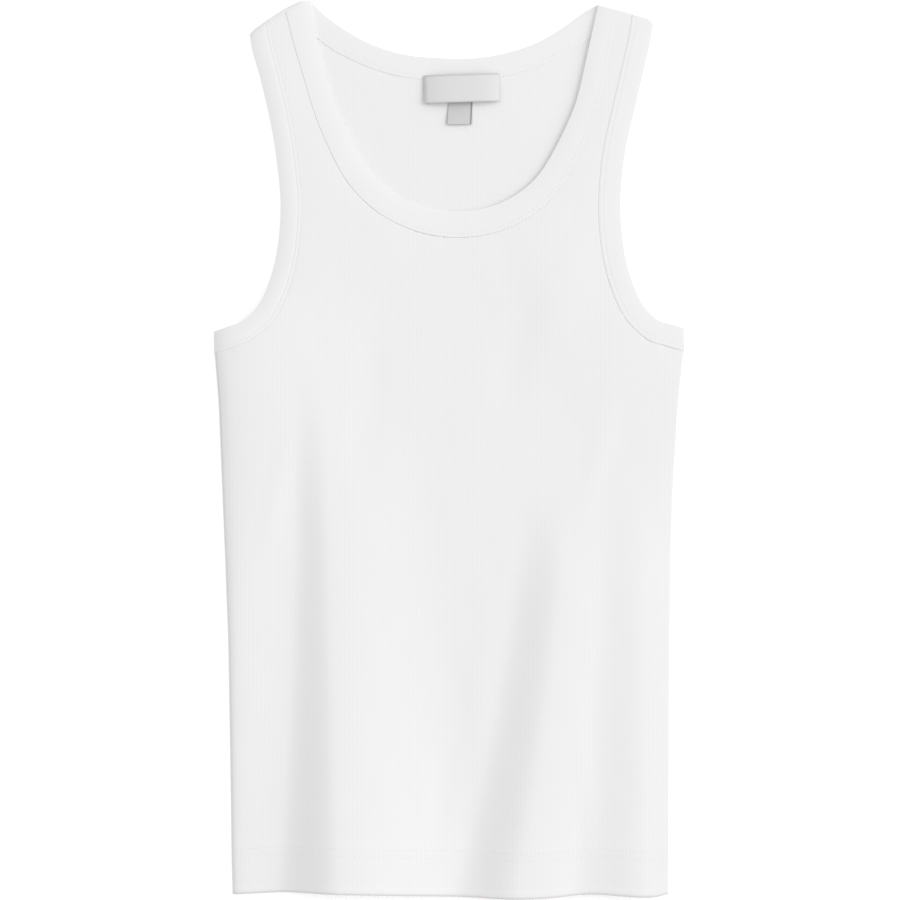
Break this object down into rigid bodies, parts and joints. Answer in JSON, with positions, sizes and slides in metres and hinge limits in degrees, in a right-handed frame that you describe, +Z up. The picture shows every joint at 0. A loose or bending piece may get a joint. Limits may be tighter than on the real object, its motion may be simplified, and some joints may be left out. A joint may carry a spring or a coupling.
{
  "type": "women's sleeveless rib-knit tank top, laid flat",
  "caption": "White rib-knit cotton tank top laid flat front up, with bound scoop neck and armholes, soft folds rising to the hem and bare woven neck labels.",
  "frame": {"origin": "under the middle of the garment's box, on the surface that it lies on", "axes": "+Z up from the surface; +Y towards the neck; +X to the right as it lies front up with the neck away from the viewer"},
  "size_m": [0.3124, 0.5959, 0.014],
  "materials": {
    "rib_jersey": "matte fine-rib cotton knit",
    "rib_binding": "matte fine-rib cotton knit, folded double",
    "label_weave": "soft satin woven label",
    "tab_weave": "soft satin woven tab"
  },
  "bodies": {
    "root": {"front_panel": "rib_jersey", "back_panel": "rib_jersey", "neck_binding_front": "rib_binding", "neck_binding_back": "rib_binding", "armhole_binding_left_front": "rib_binding", "armhole_binding_left_back": "rib_binding", "armhole_binding_right_front": "rib_binding", "armhole_binding_right_back": "rib_binding", "neck_label": "label_weave", "size_tab": "tab_weave"}
  },
  "joints": []
}
